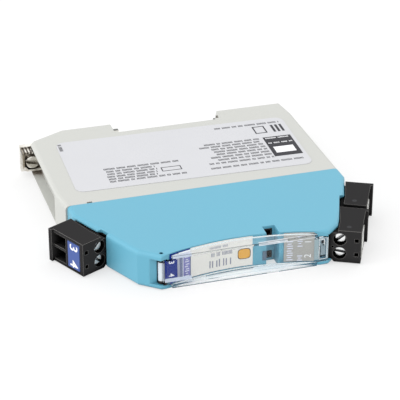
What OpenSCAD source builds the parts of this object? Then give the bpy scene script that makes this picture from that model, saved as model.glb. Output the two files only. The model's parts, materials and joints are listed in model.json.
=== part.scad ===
// Plug-in zener barrier module for a 35 mm mounting rail, lying on its broad side.
// X runs along the rail's width, -Y is the front, +Z is up through the module's thickness.
// The origin is on the rail's centre line, in the rail seat's plane, on the lower broad side.

/* [Module] */
// Thickness of the module along the rail
module_t = 12.6; // [12:0.1:16]
// Distance from the rail centre to the clamp side flank
left_x = 49.9; // [49:0.1:54]
// Distance from the rail centre to the plain side flank
right_x = 46.3; // [45.5:0.1:52]
// Depth from the rail seat to the seam between base and front housing
seam_depth = 48.9; // [46:0.1:52]
// Length of the front housing from that seam to its front corners
front_len = 40.8; // [39:0.1:46]
// Reach of the feet behind the rail seat
foot_reach = 8.1; // [7.5:0.1:9.5]
// Wall of the broad sides
skin = 1.2; // [1:0.05:1.5]
// Wall of the narrow sides
wall = 1.5; // [1.2:0.05:2]
// Radius of the long outer edges
edge_r = 1.4; // [0.6:0.1:1.6]

/* [Rail] */
// Width of the mounting rail
rail_w = 35; // [35:0.1:35.4]
// Thickness of the rail's lip
lip_t = 1; // [0.8:0.05:1.1]
// Overlap of the hooks over each rail lip
hook_over = 0.8; // [0.5:0.1:1.2]
// Side play that lets the rail be hooked in
rail_play = 0.5; // [0.3:0.05:0.6]

/* [Shoulders] */
// Slope of both plug shoulders from the flank
slope = 26.5; // [24:0.5:28]
// Length of the left shoulder to its front corner
shoulder_l = 32.2; // [31:0.1:34]
// Length of the right shoulder in front of the second plug's rear side
shoulder_r = 12.7; // [12:0.1:14]
// Depth of the curved front below its chord
front_sag = 5; // [3:0.1:6]
// Half the chord of the curved front
front_half = 28; // [27:0.1:29]

/* [Plugs] */
// Terminal pitch
pitch = 5.08; // [4.8:0.01:5.3]
// Length of a plug along its shoulder
plug_l = 16.3; // [16:0.1:17]
// Thickness of a plug
plug_t = 11.6; // [11.2:0.1:12]
// Distance from the shoulder to the plug's wire face
plug_out = 9.4; // [9:0.1:11]
// Height of the post beside the wire entries
post_h = 0.9; // [0.6:0.1:2]
// Depth of the nose in its socket
nose_in = 8; // [7:0.1:8.5]
// Clearance between the two plugs on the right shoulder
plug_gap = 1.9; // [1:0.1:2]
// Diameter of a terminal screw's head
head_d = 3.9; // [3.4:0.1:4.2]
// Diameter of a terminal screw's thread
thread_d = 2.5; // [2:0.1:2.6]
// Travel of a rising clamp cage
cage_lift = 2; // [1.5:0.1:2.1]

/* [Tag cover] */
// Thickness of the clear cover
cover_t = 1; // [0.8:0.1:1.1]
// Radius of the hinge barrel
barrel_r = 1.15; // [1:0.05:1.2]
// Radius of the hinge pins
hinge_r = 0.6; // [0.4:0.05:0.7]
// Height of each hinge ear
ear_h = 1.8; // [1.4:0.1:2.2]

/* [Rail clamp] */
// Thickness of the jaw bar
bar_t = 2; // [1.5:0.1:2.2]
// Travel of the jaw bar
bar_travel = 1.3; // [0.8:0.1:1.5]
// Diameter of the clamp screw's thread
clamp_d = 3.5; // [3:0.1:4]
// Diameter of the clamp screw's head
clamp_head_d = 4.8; // [4.4:0.1:5.2]
// Thickness of the clamp bracket
bracket_t = 1.2; // [0.8:0.1:1.2]

/* [Hidden] */

// Small amounts used everywhere
eps = 0.01;      // cut overshoot
fit = 0.05;      // running clearance
gap = 0.3;       // free clearance
mid_z = module_t / 2;
pole_z = [mid_z - pitch / 2, mid_z + pitch / 2];

// Colours
grey = [0.84, 0.84, 0.81];
blue = [0.49, 0.77, 0.86];
black = [0.16, 0.16, 0.16];
nickel = [0.75, 0.75, 0.72];
brass = [0.78, 0.66, 0.36];

// Plan of the base, clockwise from the clamp corner
flank_end = 38.3;                 // front end of the open side channel
seam_in = 1.8;                    // how far the clamp flank draws in at the seam
corner_x = left_x - 12.9;         // where the clamp corner's slant meets the foot
flank_out = 0.6;                  // how far the plain flank spreads at the seam
base_plan = [[-left_x, -flank_end], [-left_x + 0.1, 0.5], [-left_x + 1.2, 2.3], [-corner_x, foot_reach],
    [right_x - 1.2, foot_reach - 0.65], [right_x, -1.7], [right_x + flank_out, -seam_depth],
    [right_x + flank_out, -seam_depth - 4], [-left_x + seam_in, -seam_depth - 4]];

// Shoulders: n is the distance out of the shoulder, u the distance forward along it
front_depth = seam_depth + front_len;
plug_step = plug_l + plug_gap;
seat_l = [-left_x + 2, -front_depth + 33.7];
seat_r = [right_x - 0.8, -front_depth + (plug_step + plug_l) * cos(slope) + 1.325];
function at_l(n, u) = seat_l + n * [-cos(slope), -sin(slope)] + u * [sin(slope), -cos(slope)];
function at_r(n, u) = seat_r + n * [cos(slope), -sin(slope)] + u * [-sin(slope), -cos(slope)];

// Plan of the front housing
visor_n = 1.5;                    // reach of the blue edge over the noses on the right
visor_u = 10;                     // where that edge steps back
front_l = [-front_half + 0.6, -front_depth];
front_r = [front_half + 0.7, -front_depth + 0.1];
visor_end = plug_step + shoulder_r;
corner_open = 3;                  // how far the opening at the front corner passes the plug
front_plan = [[-left_x + seam_in + 0.1, -seam_depth + 5], [right_x + flank_out, -seam_depth + 5],
    [right_x + flank_out, -seam_depth], seat_r + [1.6, 2.8], at_r(visor_n, visor_u),
    at_r(visor_n + 0.05, visor_end), front_r, front_l, at_l(0.1, shoulder_l - 0.5), at_l(-0.27, -0.6)];

// Curved front: a cylinder in front of the module
arc_r = (front_half * front_half + front_sag * front_sag) / (2 * front_sag);
arc_x = 0.3;
arc_y = -front_depth + front_sag - arc_r;

// Plug, in its own frame: X is n, Y is u
shell_n0 = 0.8;                   // where the plug's full thickness starts at its rear side
shell_n = 1.8;                    // and beside the blue edge's step
neck_n = -1;                      // inner end of the screw face
body_u = 0.2;                     // rear side of the plug
screw_n = 2.5;                    // screw axis
neck_t = plug_t - 2;              // thickness of neck and nose
nose_u0 = 1.4;                    // rear side of the nose
nose_u1 = plug_l - 1.3;           // front side of the nose
entry_u0 = 1.7;                   // wire entry
entry_u1 = 7.7;
entry_h = 4.25;
head_end = plug_l - 3.7;          // rear end of the block round the screw heads
head_bevel = 1.8;                 // bevel along that block's inner edges
bevel_n = neck_n + mid_z - plug_t / 2 + head_bevel - skin;  // where that bevel passes the lower skin
probe_n = 7.3;                    // probe hole beside each screw
probe_w = 1.3;
cage_n = 4.4;                     // clamp cage
cage_h = 3.6;
cage_wall = 0.45;
cage_play = 0.1;
cage_u0 = 2.8;
cage_u1 = 10.9;
cage_roof = 1.4;
cage_floor = 0.8;
room_u0 = cage_u0 - gap;          // room the cage moves in
room_u1 = cage_u1 + cage_lift + gap / 2;
head_u0 = plug_l - 2.6;           // underside of the screw head
head_h = 1.2;
slot_deep = 0.7;
slot_w = 0.7;
slot_turn = [40, -41, 15, -60, -8, 42];  // how far each screw's slot is turned
strip_u0 = 7.9;                   // contact strip inside the cage
strip_t = 0.7;
strip_h = 2.4;
pin_w = 1;
pin_u = strip_u0 + strip_t / 2;
fork_t = 0.6;
label_u0 = 9;
label_u1 = plug_l - 1.65;
label_t = 0.3;
label_edge = 1.2;                 // from the label to the plug's broad sides

// Plug socket in the front housing
socket_n = nose_in + 0.4;
header_t = 1.8;
shroud_n = socket_n + header_t + 0.1;
socket_h = plug_t - 2 + 2 * gap;
lip_in = 3.5;                     // how far the front housing's lip enters the base

// Tag cover
hinge_x = -front_half + 1.2;
hinge_y = -front_depth + 2.1;
cover_y = -front_depth - 0.2;     // front face of the cover
cover_full = front_half - 3.8;    // half the length over which the cover has its full height
cover_end = front_half + 0.2;
cover_h = module_t - 1.2;
niche_x = front_half + 2.8;       // clamp side end of the hinge niche
niche_r = barrel_r + 0.35;
niche_back = 0.5;                 // room behind the hinge for the open cover's root
tab_x0 = front_half - 2.5;
tab_x1 = front_half - 0.6;
tab_z0 = 3.4;
tab_z1 = 6.8;
tab_in = 1.3;

// Front pocket with the two square sockets
pocket_x0 = 8.8;
pocket_x1 = 13;
pocket_y = -front_depth + 9.1;
socket_w = 2.6;
socket_hole = 1.5;
socket_l = wall + 1.4;
socket_zs = [2.3, module_t - 2.3];

// Rail recess and clamp
rail_x = rail_w / 2;
bar_y = lip_t + fit;              // front face of the jaw bar, closed on the lip
channel_x = left_x - 3.5;         // floor of the side channel
cavity_l = channel_x - wall;
cavity_r = right_x - wall - 0.1;
clamp_x = -left_x + 0.1;
clamp_out = 3.5;                  // how far the clamp stands out of the flank
clamp_plate_h = 9.6;
bar_h = 5.4;
bracket_y = bar_y - 0.15 - bracket_t;
bracket_h = 6.4;
bracket_in = 41.4;                // inner end of the bracket
clamp_head_h = 2;
jaw_t = 1.8;                      // bent end of the jaw bar
jaw_l = 5;
jaw_h = 9.4;
jaw_room = 1.4;
rim_d = 2.2;                      // rim of the clamp bracket
rim_t = 0.7;
rim_bevel = 1.4;                  // bevel of its lower outer corner
hook_x = rail_x - hook_over;
hook_tab = [1.4, 2.8];            // raised tab behind the hook's tip, from and to
hook_top = module_t - 0.7;
hook_t = 1.5;
hook_in = 26;

// Circuit board
board_t = 1.6;
board_z = mid_z - board_t / 2;
board_x0 = -cavity_l + 1.6;
board_x1 = cavity_r - 1.6;
board_y1 = -2.8;
board_y0 = -front_depth + 13.2;
board_n = -shroud_n - 0.2;
board_plan = [[board_x0, board_y1], [board_x1, board_y1], [board_x1, -seam_depth + 0.5],
    at_r(board_n, -1.5), at_r(board_n, 26.2), [at_l(board_n, 17.8)[0], board_y0],
    at_l(board_n, 17.8), at_l(board_n, -1.5), [board_x0, -seam_depth + 0.5]];

// Slab with rounded long edges
module rounded_slab(plan, h, r) {
    hull()
        for (a = [0, 30, 60, 90])
            translate([0, 0, r * (1 - sin(a))])
                linear_extrude(h - 2 * r * (1 - sin(a)))
                    offset(delta = -r * (1 - cos(a)))
                        polygon(plan);
}

// Box given by its two corners
module span(p, q) {
    translate(p)
        cube(q - p);
}

// Place children in a plug's frame
module on_left() {
    translate(concat(seat_l, 0))
        rotate(180 + slope)
            children();
}

module on_right(k) {
    translate(concat(at_r(0, k * plug_step), 0))
        rotate(-slope)
            mirror([0, 1, 0])
                children();
}

// Rod along +Y between two places
module rod_y(x, y0, y1, z, r) {
    translate([x, y0, z])
        rotate([-90, 0, 0])
            cylinder(h = y1 - y0, r = r, $fn = 48);
}

module curved_front(r, z0, z1) {
    translate([arc_x, arc_y, z0])
        cylinder(h = z1 - z0, r = r, $fn = 180);
}

// Light grey base: rail recess, feet, side channel, board grooves
module rail_recess() {
    x0 = -rail_x - 0.3;
    x1 = rail_x + rail_play;
    y1 = foot_reach + 1;
    translate([0, 0, -1])
        linear_extrude(module_t + 2)
            polygon([[x0, 0], [x1, 0], [x1 + 3.6, y1], [x0 - jaw_room, y1], [x0 - jaw_room, bar_y - 0.15],
                [x0, bar_y - 0.15]]);
}

module clamp_cuts() {
    // open side channel with the clamp at its rear end
    span([-left_x - 9, -flank_end + 1.6, skin], [-channel_x, foot_reach + 1, module_t - skin]);
    // slant at the channel's front end
    translate([0, 0, skin])
        linear_extrude(module_t - 2 * skin)
            polygon([[-channel_x - eps, -flank_end + 1.7], [-channel_x, -flank_end + 1.6],
                [-left_x - 1, -flank_end - 0.3], [-left_x - 1, -flank_end + 1.7]]);
    // slot for the jaw bar
    span([-channel_x - eps, bar_y - 0.15, mid_z - bar_h / 2 - gap],
        [-hook_x + 1, bar_y + bar_t + bar_travel + gap, mid_z + bar_h / 2 + gap]);
    // slot for the bracket
    span([-channel_x - eps, bracket_y - fit, mid_z - bracket_h / 2 - fit],
        [-bracket_in + fit, bar_y, mid_z + bracket_h / 2 + fit]);
    // way for the bracket's leg into the cavity
    span([-bracket_in - bracket_t - fit, -9, mid_z - bracket_h / 2 - fit],
        [-bracket_in + fit, bar_y, mid_z + bracket_h / 2 + fit]);
}

module hook_cuts() {
    z0 = mid_z - bar_h / 2 - fit;
    z1 = mid_z + bar_h / 2 + fit;
    span([hook_x - 1, bar_y - fit + 0.1, z0], [hook_in + fit, bar_y + 0.1 + hook_t + fit, z1]);
    span([hook_in - hook_t - fit, -9, z0], [hook_in + fit, bar_y + 0.1 + hook_t + fit, z1]);
    // open slot over the raised tab
    span([hook_x + hook_tab[0] - 0.3, bar_y - fit + 0.1, mid_z],
        [hook_x + hook_tab[1] + 0.5, bar_y + 0.1 + hook_t + 0.4, module_t + 1]);
}

module board_grooves() {
    for (x = [-cavity_l - eps, cavity_r + eps - 2])
        for (z = [board_z - 0.1 - 1.2, board_z + board_t + 0.1])
            span([x, -43, z], [x + 2, -6, z + 1.2]);
}

module base_housing() {
    color(grey)
        difference() {
            rounded_slab(base_plan, module_t, edge_r);
            // seam with the front housing
            span([-80, -seam_depth - 20, -1], [80, -seam_depth, module_t + 1]);
            // cavity for the board, with its grooves left standing
            difference() {
                union() {
                    span([-cavity_l, -seam_depth - 1, skin], [cavity_r, -2, module_t - skin]);
                    span([hook_in - 2.5, -3, skin], [cavity_r - 1, foot_reach - 2, module_t - skin]);
                }
                board_grooves();
            }
            rail_recess();
            clamp_cuts();
            hook_cuts();
            // latch window at the seam
            span([-41.2, -seam_depth - 1, module_t - 0.8], [-39.4, -seam_depth + 0.9, module_t + 1]);
        }
}

// Room for one plug's nose and neck
module plug_room() {
    z0 = mid_z - socket_h / 2;
    z1 = mid_z + socket_h / 2;
    span([-shroud_n - 1, nose_u0 - gap, z0], [neck_n, nose_u1 + gap, z1]);
    span([neck_n - gap, nose_u0 - gap, z0], [plug_out, plug_l + gap, z1]);
}

// Notch in the shoulder's edge beside the screw heads
module head_notch() {
    notch_n = -1.2;
    translate([0, 0, -1])
        linear_extrude(module_t + 2)
            polygon([[plug_out, head_end - 1], [0.1, head_end - 1], [notch_n, head_end + 0.6],
                [notch_n, plug_l + gap], [plug_out, plug_l + gap]]);
}

module plug_shroud() {
    span([-shroud_n, nose_u0 - gap - 1, eps], [0, nose_u1 + gap + 1, module_t - eps]);
}

module shrouds() {
    on_left()
        plug_shroud();
    for (k = [0, 1])
        on_right(k)
            plug_shroud();
}

module front_cavity() {
    difference() {
        translate([0, 0, skin])
            linear_extrude(module_t - 2 * skin)
                offset(delta = -wall)
                    polygon(front_plan);
        curved_front(arc_r + wall, 0, module_t);
        span([pocket_x0 - wall, -front_depth, 0], [pocket_x1 + wall, pocket_y + wall, module_t]);
        span([-niche_x - wall, -front_depth, 0],
            [hinge_x + niche_r + wall, hinge_y + niche_r + wall, module_t]);
        shrouds();
    }
}

// Lip that enters the base's cavity, on a thicker root inside the front housing
module front_lip() {
    c = 0.15;
    lip_t0 = 1;
    root = 2;
    difference() {
        union() {
            span([-cavity_l + c, -seam_depth - eps, skin + c],
                [cavity_r - c, -seam_depth + lip_in, module_t - skin - c]);
            span([-cavity_l - c, -seam_depth - root, skin - c],
                [cavity_r + c, -seam_depth, module_t - skin + c]);
        }
        span([-cavity_l + c + lip_t0, -seam_depth - root - 1, skin + c + lip_t0],
            [cavity_r - c - lip_t0, -seam_depth + lip_in + 1, module_t - skin - c - lip_t0]);
    }
}

module front_housing() {
    color(blue)
        difference() {
            union() {
                difference() {
                    rounded_slab(front_plan, module_t, edge_r);
                    span([-80, -seam_depth, -1], [80, 20, module_t + 1]);
                    front_cavity();
                }
                front_lip();
            }
            // step in the right shoulder, where the first plug's screw face stands
            translate([0, 0, -1])
                linear_extrude(module_t + 2)
                    polygon([at_r(visor_n + 3, visor_u), at_r(visor_n, visor_u), at_r(-0.1, visor_u + 1.6),
                        at_r(visor_n + 0.2, visor_end), at_r(visor_n + 3, visor_end)]);
            on_left() {
                plug_room();
                head_notch();
            }
            for (k = [0, 1])
                on_right(k) {
                    plug_room();
                    span([bevel_n - gap, head_end - gap, -1], [plug_out, plug_l + gap, mid_z]);
                }
            // open front corner, where the last plug's screw face shows between the two skins
            on_right(1)
                span([neck_n - 0.2, head_end - gap, ear_h], [plug_out, plug_l + corner_open, module_t - skin]);
            curved_front(arc_r, -1, module_t + 1);
            // hinge niche between its two ears, and its mirror at the clip end
            span([-niche_x, -front_depth - 2, ear_h], [hinge_x + niche_r, hinge_y, module_t - ear_h]);
            span([-niche_x, -front_depth - 2, ear_h], [hinge_x, hinge_y + niche_back, module_t - ear_h]);
            translate([hinge_x, hinge_y, ear_h])
                cylinder(h = module_t - 2 * ear_h, r = niche_r, $fn = 48);
            span([cover_full - 1, -front_depth - 2, ear_h],
                [cover_end + 5, cover_y + cover_t + gap, module_t - ear_h]);
            // bore for the hinge pins
            translate([hinge_x, hinge_y, -1])
                cylinder(h = module_t + 2, r = hinge_r + fit, $fn = 32);
            // pocket for the cover's clip tab
            span([tab_x0 - gap, cover_y, tab_z0 - gap],
                [tab_x1 + gap, cover_y + cover_t + tab_in + gap, tab_z1 + gap]);
            // front pocket and its two sockets
            span([pocket_x0, -front_depth, -1], [pocket_x1, pocket_y, module_t + 1]);
            for (z = socket_zs)
                translate([(pocket_x0 + pocket_x1) / 2 - socket_w / 2, pocket_y - 1, z - socket_w / 2])
                    cube([socket_w, socket_l + 1.5, socket_w]);
        }
}

module front_sockets() {
    x = (pocket_x0 + pocket_x1) / 2;
    color(black)
        for (z = socket_zs)
            difference() {
                span([x - socket_w / 2, pocket_y - 0.1, z - socket_w / 2],
                    [x + socket_w / 2, pocket_y + socket_l, z + socket_w / 2]);
                span([x - socket_hole / 2, pocket_y - 1, z - socket_hole / 2],
                    [x + socket_hole / 2, pocket_y + socket_l - 0.6, z + socket_hole / 2]);
            }
}

// Labels
module side_label() {
    label_w = 83;
    label_l = 38;
    r = 3;
    color([0.9, 0.9, 0.93])
        translate([-0.7, -22.9, module_t])
            rotate(-1.6)
                linear_extrude(0.15) {
                    square([label_w - 2 * r, label_l], center = true);
                    square([label_w, label_l - 2 * r], center = true);
                    for (x = [-1, 1], y = [-1, 1])
                        translate([x * (label_w / 2 - r), y * (label_l / 2 - r)])
                            circle(r, $fn = 48);
                }
}

module front_label(x0, x1) {
    label_z0 = 1.9;
    label_z1 = module_t - 0.4;
    film = 0.2;
    intersection() {
        difference() {
            curved_front(arc_r, label_z0, label_z1);
            curved_front(arc_r - film, 0, module_t);
        }
        span([x0, -front_depth, 0], [x1, -front_depth + 2 * front_sag, module_t]);
    }
}

module hazard_label() {
    color([0.25, 0.3, 0.55])
        front_label(-front_half + 3.6, -front_half + 10.8);
}

module name_label() {
    color([0.9, 0.88, 0.82])
        front_label(-front_half + 11, pocket_x0 - 4.6);
}

module safe_label() {
    color([0.75, 0.76, 0.77])
        front_label(pocket_x1 + 1.4, front_half - 4.1);
}

// Clear tag cover with its hinge barrel, pins, rims and clip tab
module tag_cover() {
    full_z0 = (module_t - cover_h) / 2;
    end_z0 = ear_h + 0.2;
    rim_h = 1;
    color([0.85, 0.92, 0.95, 0.6])
        difference() {
            union() {
                span([hinge_x, cover_y, end_z0], [cover_end, cover_y + cover_t, module_t - end_z0]);
                span([arc_x - cover_full, cover_y, full_z0],
                    [arc_x + cover_full, cover_y + cover_t, module_t - full_z0]);
                // rims along the long edges, cut to the curved front
                for (z = [full_z0, module_t - full_z0 - rim_h])
                    intersection() {
                        curved_front(arc_r - 0.35, z, z + rim_h);
                        span([arc_x - cover_full, cover_y, z], [arc_x + cover_full, cover_y + 6, z + rim_h]);
                    }
                // hinge barrel, its link to the cover and its two pins
                span([hinge_x, cover_y, end_z0], [hinge_x + barrel_r, hinge_y, module_t - end_z0]);
                translate([hinge_x, hinge_y, end_z0])
                    cylinder(h = module_t - 2 * end_z0, r = barrel_r, $fn = 48);
                translate([hinge_x, hinge_y, 0.6])
                    cylinder(h = module_t - 1.2, r = hinge_r, $fn = 32);
                span([tab_x0, cover_y + cover_t - eps, tab_z0], [tab_x1, cover_y + cover_t + tab_in, tab_z1]);
            }
            // slot that a screwdriver lifts the cover by
            span([tab_x0, cover_y - 1, tab_z1 + 0.9], [tab_x0 + 1.6, cover_y + cover_t + 1, tab_z1 + 3.1]);
        }
}

// Black plug, in its own frame
module plug_block() {
    z0 = mid_z - plug_t / 2;
    z1 = mid_z + plug_t / 2;
    n0 = mid_z - neck_t / 2;
    n1 = mid_z + neck_t / 2;
    room_n = cage_n / 2 + gap;
    color(black)
        difference() {
            union() {
                translate([0, 0, z0])
                    linear_extrude(plug_t)
                        polygon([[shell_n0, body_u], [plug_out, body_u], [plug_out, plug_l], [shell_n, plug_l],
                            [shell_n, visor_u + 0.5]]);
                // post beside the wire entries
                span([plug_out - eps, body_u, z0], [plug_out + post_h, entry_u0, z1]);
                // neck and nose
                span([neck_n, nose_u0, n0], [shell_n + eps, head_end + eps, n1]);
                span([-nose_in, nose_u0, n0], [neck_n + eps, nose_u1, n1]);
                // block round the screw heads, bevelled along its inner edges
                translate([0, plug_l, 0])
                    rotate([90, 0, 0])
                        linear_extrude(plug_l - head_end)
                            polygon([[neck_n, z0 + head_bevel], [neck_n + head_bevel, z0], [shell_n + eps, z0],
                                [shell_n + eps, n1], [neck_n + z1 - n1, n1], [neck_n, z1 - head_bevel]]);
            }
            // recess of the number label
            span([plug_out - 0.2, label_u0 - 0.1, z0 + label_edge - 0.1],
                [plug_out + 1, label_u1 + 0.1, z1 - label_edge + 0.1]);
            for (z = pole_z) {
                // wire entry
                span([screw_n, entry_u0, z - entry_h / 2], [plug_out + post_h + 1, entry_u1, z + entry_h / 2]);
                // room of the clamp cage
                span([screw_n - room_n, room_u0, z - cage_h / 2 - cage_play],
                    [screw_n + room_n, room_u1, z + cage_h / 2 + cage_play]);
                // way for the contact strip and its fork
                span([neck_n - 0.5, strip_u0 - fit, z - strip_h / 2 - fit],
                    [screw_n, strip_u0 + strip_t + fit, z + strip_h / 2 + fit]);
                span([-nose_in - 1, pin_u - pin_w / 2 - fork_t - 0.2, z - strip_h / 2 - fit],
                    [neck_n - 0.3, pin_u + pin_w / 2 + fork_t + 0.2, z + strip_h / 2 + fit]);
                // screw
                rod_y(screw_n, room_u1 - 1, plug_l + 1, z, thread_d / 2 + fit);
                rod_y(screw_n, head_u0 - 0.05, plug_l + 1, z, head_d / 2 + 0.2);
                // probe hole
                span([probe_n, plug_l - 3, z - probe_w / 2 - 0.1],
                    [probe_n + probe_w, plug_l + 1, z + probe_w / 2 - 0.1]);
            }
            // small moulding hole between the screws
            rod_y(0.2, plug_l - 1.5, plug_l + 1, mid_z - 0.3, 0.4);
        }
}

module plug_label() {
    span([plug_out - 0.2, label_u0, mid_z - plug_t / 2 + label_edge],
        [plug_out - 0.2 + label_t + 0.1, label_u1, mid_z + plug_t / 2 - label_edge]);
}

module terminal_screw(z, turn) {
    color(nickel)
        difference() {
            union() {
                rod_y(screw_n, head_u0, head_u0 + head_h, z, head_d / 2);
                rod_y(screw_n, strip_u0 + strip_t + 0.2, head_u0 + eps, z, thread_d / 2);
            }
            // driver slot
            translate([screw_n, head_u0 + head_h, z])
                rotate([0, -turn, 0])
                    cube([head_d + 1, 2 * slot_deep, slot_w], center = true);
        }
}

module clamp_cage(z) {
    color(nickel)
        difference() {
            span([screw_n - cage_n / 2, cage_u0, z - cage_h / 2],
                [screw_n + cage_n / 2, cage_u1, z + cage_h / 2]);
            span([screw_n - cage_n, cage_u0 + cage_floor, z - cage_h / 2 + cage_wall],
                [screw_n + cage_n, cage_u1 - cage_roof, z + cage_h / 2 - cage_wall]);
            rod_y(screw_n, cage_u1 - cage_roof - 1, cage_u1 + 1, z, thread_d / 2 + fit);
        }
}

module plug_contacts() {
    fork_u0 = pin_u - pin_w / 2 - fork_t - 0.1;
    fork_u1 = pin_u + pin_w / 2 + fork_t + 0.1;
    fork_n = -nose_in + 0.4;
    color(brass)
        for (z = pole_z)
            translate([0, 0, z - strip_h / 2]) {
                span([neck_n - 0.4, strip_u0, 0], [screw_n + cage_n / 2, strip_u0 + strip_t, strip_h]);
                difference() {
                    span([fork_n, fork_u0, 0], [neck_n - 0.4 + eps, fork_u1, strip_h]);
                    span([fork_n - 1, fork_u0 + fork_t, -1], [neck_n - 1, fork_u1 - fork_t, strip_h + 1]);
                }
            }
}

module plug_header() {
    z0 = mid_z - socket_h / 2 + fit;
    color(black)
        difference() {
            span([-shroud_n, nose_u0 - gap + fit, z0], [-socket_n, nose_u1 + gap - fit, module_t - z0]);
            for (z = pole_z)
                translate([-shroud_n / 2, pin_u, z])
                    cube([shroud_n + 2, pin_w, pin_w], center = true);
        }
}

module header_pins() {
    leg_n = -shroud_n - 1.4;
    color(brass)
        for (s = [-1, 1])
            translate([0, 0, mid_z])
                mirror([0, 0, s < 0 ? 1 : 0]) {
                    span([leg_n, pin_u - pin_w / 2, pitch / 2 - pin_w / 2],
                        [neck_n - 1.6, pin_u + pin_w / 2, pitch / 2 + pin_w / 2]);
                    span([leg_n, pin_u - pin_w / 2, board_t / 2],
                        [leg_n + pin_w, pin_u + pin_w / 2, pitch / 2]);
                }
}

// Rail clamp
module bevelled_block(low, high) {
    translate([0, high[1], 0])
        rotate([90, 0, 0])
            linear_extrude(high[1] - low[1])
                polygon([[low[0] + rim_bevel, low[2]], [high[0], low[2]], [high[0], high[2]], [low[0], high[2]],
                    [low[0], low[2] + rim_bevel]]);
}

module clamp_bracket() {
    plate_x = -left_x - clamp_out;
    plate_z0 = mid_z - clamp_plate_h / 2 + 1.5;
    plate_z1 = mid_z + clamp_plate_h / 2 - 0.6;
    color(nickel)
        difference() {
            union() {
                // plate with a rim round the screw head, open towards the module
                difference() {
                    bevelled_block([plate_x, bracket_y - rim_d, plate_z0],
                        [-channel_x - 0.2, bracket_y + bracket_t, plate_z1]);
                    bevelled_block([plate_x + rim_t, bracket_y - rim_d - 1, plate_z0 + rim_t],
                        [-channel_x, bracket_y, plate_z1 - rim_t]);
                }
                span([-channel_x - 0.3, bracket_y, mid_z - bracket_h / 2],
                    [-bracket_in, bracket_y + bracket_t, mid_z + bracket_h / 2]);
                span([-bracket_in - bracket_t, -8.6, board_z + board_t],
                    [-bracket_in, bracket_y + eps, mid_z + bracket_h / 2]);
            }
            rod_y(clamp_x, bracket_y - 1, bracket_y + bracket_t + 1, mid_z, clamp_d / 2 + 0.15);
        }
}

module clamp_screw() {
    color(nickel)
        difference() {
            union() {
                rod_y(clamp_x, bracket_y - fit - clamp_head_h, bracket_y - fit, mid_z, clamp_head_d / 2);
                rod_y(clamp_x, bracket_y - fit - eps, bar_y + bar_t + bar_travel + 0.7, mid_z, clamp_d / 2);
            }
            translate([clamp_x, bracket_y - fit - clamp_head_h, mid_z])
                rotate([0, -14, 0])
                    cube([clamp_head_d + 1, 2.2, 1], center = true);
        }
}

module clamp_bar() {
    color(nickel)
        difference() {
            union() {
                span([-left_x - clamp_out, bar_y, mid_z - clamp_plate_h / 2],
                    [-channel_x - 0.3, bar_y + bar_t, mid_z + clamp_plate_h / 2]);
                span([-channel_x - 0.4, bar_y, mid_z - bar_h / 2], [-hook_x, bar_y + bar_t, mid_z + bar_h / 2]);
                span([-hook_x - jaw_t, bar_y, mid_z - jaw_h / 2], [-hook_x, bar_y + jaw_l, mid_z + jaw_h / 2]);
            }
            rod_y(clamp_x, bar_y - 1, bar_y + bar_t + 1, mid_z, clamp_d / 2 + fit);
        }
}

// Fixed earth hook over the other rail lip
module rail_hook() {
    y0 = bar_y + 0.1;
    color(nickel) {
        span([hook_x, y0, mid_z - bar_h / 2], [hook_in, y0 + hook_t, mid_z + bar_h / 2]);
        span([hook_x + hook_tab[0], y0, mid_z], [hook_x + hook_tab[1], y0 + hook_t, hook_top]);
        span([hook_in - hook_t, -8.6, board_z + board_t], [hook_in, y0 + eps, mid_z + bar_h / 2]);
    }
}

// Circuit board and its parts
module circuit_board() {
    color([0.1, 0.4, 0.2])
        translate([0, 0, board_z])
            linear_extrude(board_t)
                polygon(board_plan);
}

// Axial part that stands on the board by its two bent leads
module axial_part(x, y, body_l, body_r, body_colour) {
    top = board_z + board_t;
    span_l = body_l + 4;
    lead = 0.6;
    z = top + body_r + 0.3;
    translate([x, y, 0]) {
        color(body_colour)
            translate([-body_l / 2, 0, z])
                rotate([0, 90, 0])
                    cylinder(h = body_l, r = body_r, $fn = 32);
        color(nickel)
            for (s = [-1, 1]) {
                span([s * (body_l + span_l) / 4 - 1.01, -lead / 2, z - lead / 2],
                    [s * (body_l + span_l) / 4 + 1.01, lead / 2, z + lead / 2]);
                span([s * span_l / 2 - lead / 2, -lead / 2, top],
                    [s * span_l / 2 + lead / 2, lead / 2, z + lead / 2]);
            }
    }
}

module fuses() {
    for (row = [1, 2])
        axial_part(board_x0 + 29.3, -seam_depth + 0.9 - 10 * row, 8, 1.4, [0.7, 0.85, 0.8]);
}

module resistors() {
    for (column = [0, 1], row = [0, 1])
        axial_part(board_x0 + 29.3 + 18 * column, board_y1 - 11.2 - 8 * row, 7, 1.2, [0.75, 0.65, 0.5]);
}

module zener_diodes() {
    for (column = [0:2], row = [0, 1])
        axial_part(board_x0 + 19.3 + 18 * column, -seam_depth + 6.9 + 8 * row, 5, 1.3, black);
}

base_housing();
front_housing();
side_label();
hazard_label();
name_label();
safe_label();
front_sockets();
tag_cover();
on_left() plug_block();  // plug_haz
on_right(0) plug_block();  // plug_safe_a
on_right(1) plug_block();  // plug_safe_b
color([0.29, 0.33, 0.69]) on_left() plug_label();  // plug_label_haz
color([0.8, 0.8, 0.8]) on_right(0) plug_label();  // plug_label_safe_a
color([0.8, 0.8, 0.8]) on_right(1) plug_label();  // plug_label_safe_b
on_left() terminal_screw(pole_z[0], slot_turn[0]);  // screw_haz_1
on_left() terminal_screw(pole_z[1], slot_turn[1]);  // screw_haz_2
on_right(0) terminal_screw(pole_z[0], slot_turn[2]);  // screw_safe_a_1
on_right(0) terminal_screw(pole_z[1], slot_turn[3]);  // screw_safe_a_2
on_right(1) terminal_screw(pole_z[0], slot_turn[4]);  // screw_safe_b_1
on_right(1) terminal_screw(pole_z[1], slot_turn[5]);  // screw_safe_b_2
on_left() clamp_cage(pole_z[0]);  // cage_haz_1
on_left() clamp_cage(pole_z[1]);  // cage_haz_2
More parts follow.
